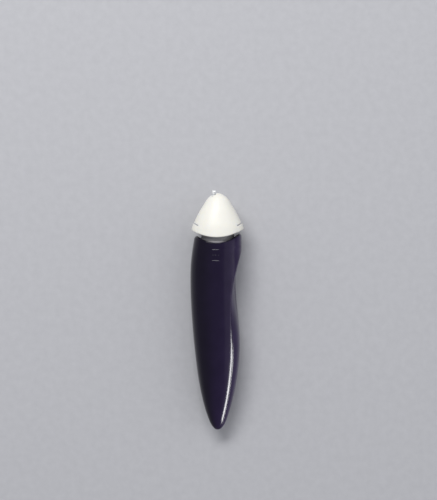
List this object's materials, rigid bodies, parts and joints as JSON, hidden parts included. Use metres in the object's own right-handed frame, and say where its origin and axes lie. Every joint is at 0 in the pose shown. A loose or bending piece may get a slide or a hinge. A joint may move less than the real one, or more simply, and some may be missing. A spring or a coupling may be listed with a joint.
{
  "type": "tracing wheel",
  "caption": "Pen-style chalk tracing wheel: a curved dark handle with a scooped grip face, and a white nose that holds a small toothed wheel and pulls out with its chalk reservoir.",
  "frame": {"origin": "middle of the flat that the handle's back rests on", "axes": "+Y along the tool towards the wheel, +X to the side with the scooped grip face, +Z away from the surface it lies on"},
  "size_m": [0.024, 0.1077, 0.0203],
  "materials": {
    "handle": "semi-gloss moulded plastic with a fine grain",
    "inner_plastic": "plain moulded plastic",
    "nose": "glossy moulded plastic",
    "reservoir": "smoky clear moulded plastic",
    "seal": "matt",
    "chalk": "packed powder",
    "steel": "stamped and tumbled"
  },
  "bodies": {
    "handle": {"front_shell": "handle", "back_shell": "handle", "socket_sleeve": "inner_plastic"},
    "cartridge": {"nose_cone": "nose", "chalk_funnel": "reservoir", "wheel_axle": "steel", "chalk_reservoir": "reservoir", "reservoir_seal": "seal", "chalk_fill": "chalk"},
    "wheel": {"toothed_wheel": "steel"},
    "plug": {"reservoir_plug": "inner_plastic"},
    "tab_left": {"release_tab_left": "nose"},
    "tab_right": {"release_tab_right": "nose"}
  },
  "joints": [
    {"name": "cartridge_slide", "type": "slide", "parent": "handle", "child": "cartridge", "axis": [0, 1, 0], "range_m": [0, 0.036]},
    {"name": "wheel_spin", "type": "hinge", "parent": "cartridge", "child": "wheel", "pos_m": [-0.0014, 0.0491, 0.011], "axis": [1, 0, 0], "continuous": true},
    {"name": "plug_slide", "type": "slide", "parent": "cartridge", "child": "plug", "axis": [0, -1, 0], "range_m": [0, 0.01]},
    {"name": "tab_left_press", "type": "slide", "parent": "cartridge", "child": "tab_left", "axis": [1, 0, 0], "range_m": [0, 0.0006], "stiffness_N_per_m": 800},
    {"name": "tab_right_press", "type": "slide", "parent": "cartridge", "child": "tab_right", "axis": [-1, 0, 0], "range_m": [0, 0.0006], "stiffness_N_per_m": 800}
  ]
}
